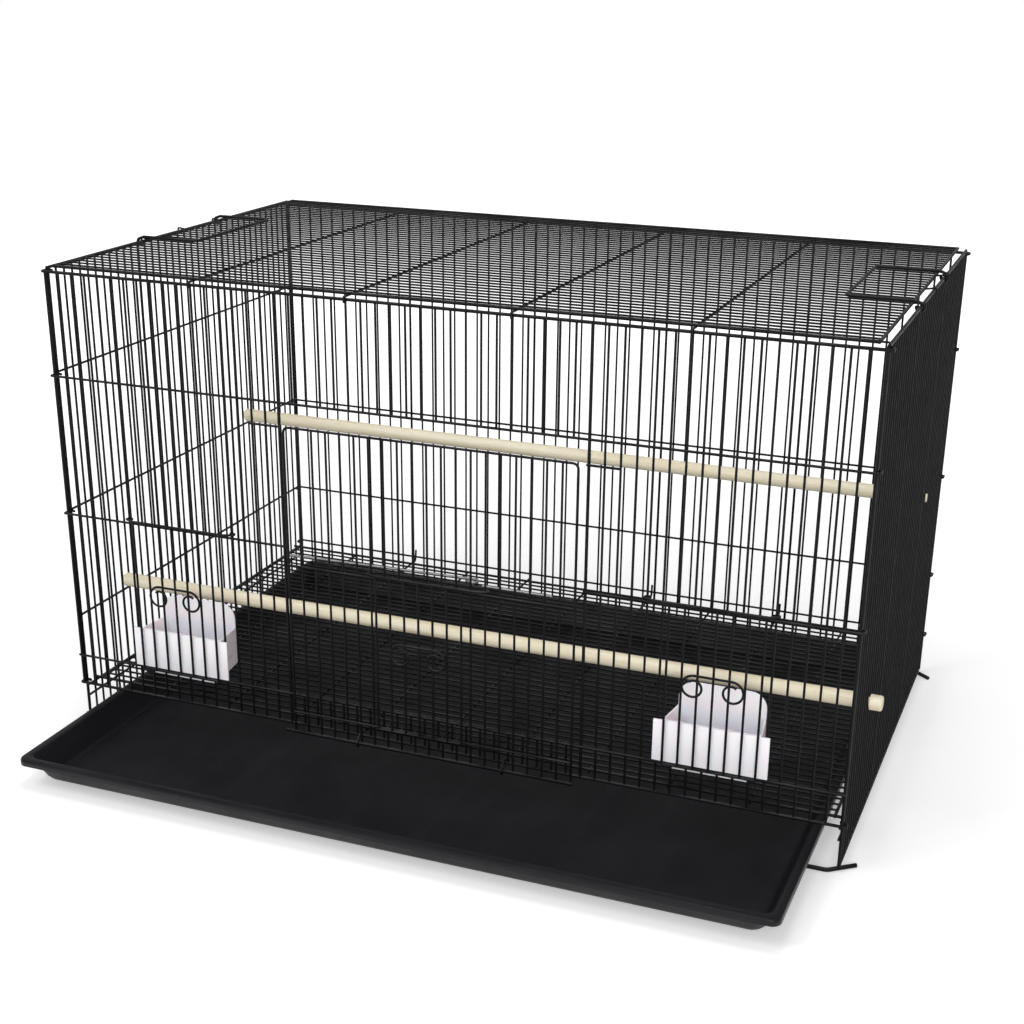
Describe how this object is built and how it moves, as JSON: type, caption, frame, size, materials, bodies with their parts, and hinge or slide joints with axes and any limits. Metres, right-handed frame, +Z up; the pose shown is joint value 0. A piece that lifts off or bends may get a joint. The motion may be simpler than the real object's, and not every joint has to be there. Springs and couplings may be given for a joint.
{
  "type": "bird cage",
  "caption": "Rectangular wire bird cage with a sliding tray, drop-down front door, lift-up feeder doors, hooded cups, dowel perches, floor grille and carrying bails.",
  "frame": {"origin": "under the middle of the front base bar, on the surface that the cage stands on", "axes": "+X to the cage's right, +Y from the front to the back, +Z up"},
  "size_m": [0.7902, 0.6018, 0.4684],
  "materials": {
    "black_wire": "satin black powder coat",
    "black_plastic": "fine satin moulded",
    "white_plastic": "smooth, slightly translucent",
    "pine_dowel": "bare sanded pine",
    "grey_steel": "dull zinc"
  },
  "bodies": {
    "cage": {"front_panel": "black_wire", "rear_panel": "black_wire", "left_panel": "black_wire", "right_panel": "black_wire", "top_panel": "black_wire", "floor_grille": "black_wire", "base_bar_front": "black_wire", "base_bar_rear": "black_wire", "grille_rod_long": "grey_steel", "grille_rod_short": "grey_steel", "cup_left": "white_plastic", "cup_right": "white_plastic", "perch_front": "pine_dowel", "perch_rear": "pine_dowel"},
    "tray": {"tray": "black_plastic"},
    "main_door": {"main_door": "black_wire", "door_loop_left": "black_wire", "door_loop_right": "black_wire"},
    "feeder_left": {"feeder_door_left": "black_wire"},
    "feeder_right": {"feeder_door_right": "black_wire"},
    "feeder_middle": {"feeder_door_middle": "black_wire"},
    "bail_left": {"bail_left": "black_wire"},
    "bail_right": {"bail_right": "black_wire"}
  },
  "joints": [
    {"name": "tray_slide", "type": "slide", "parent": "cage", "child": "tray", "axis": [0, 1, 0], "range_m": [-0.25, 0.012]},
    {"name": "main_door_hinge", "type": "hinge", "parent": "cage", "child": "main_door", "pos_m": [0, 0, 0.0462], "axis": [1, 0, 0], "range_deg": [0, 90]},
    {"name": "feeder_left_slide", "type": "slide", "parent": "cage", "child": "feeder_left", "axis": [0, 0, 1], "range_m": [0, 0.1285]},
    {"name": "feeder_right_slide", "type": "slide", "parent": "cage", "child": "feeder_right", "axis": [0, 0, 1], "range_m": [0, 0.1285]},
    {"name": "feeder_middle_slide", "type": "slide", "parent": "main_door", "child": "feeder_middle", "axis": [0, 0, 1], "range_m": [0, 0.12]},
    {"name": "bail_left_hinge", "type": "hinge", "parent": "cage", "child": "bail_left", "pos_m": [-0.381, 0.2286, 0.45987], "axis": [0, -1, 0], "range_deg": [0, 240]},
    {"name": "bail_right_hinge", "type": "hinge", "parent": "cage", "child": "bail_right", "pos_m": [0.381, 0.2286, 0.45987], "axis": [0, 1, 0], "range_deg": [0, 240]}
  ]
}
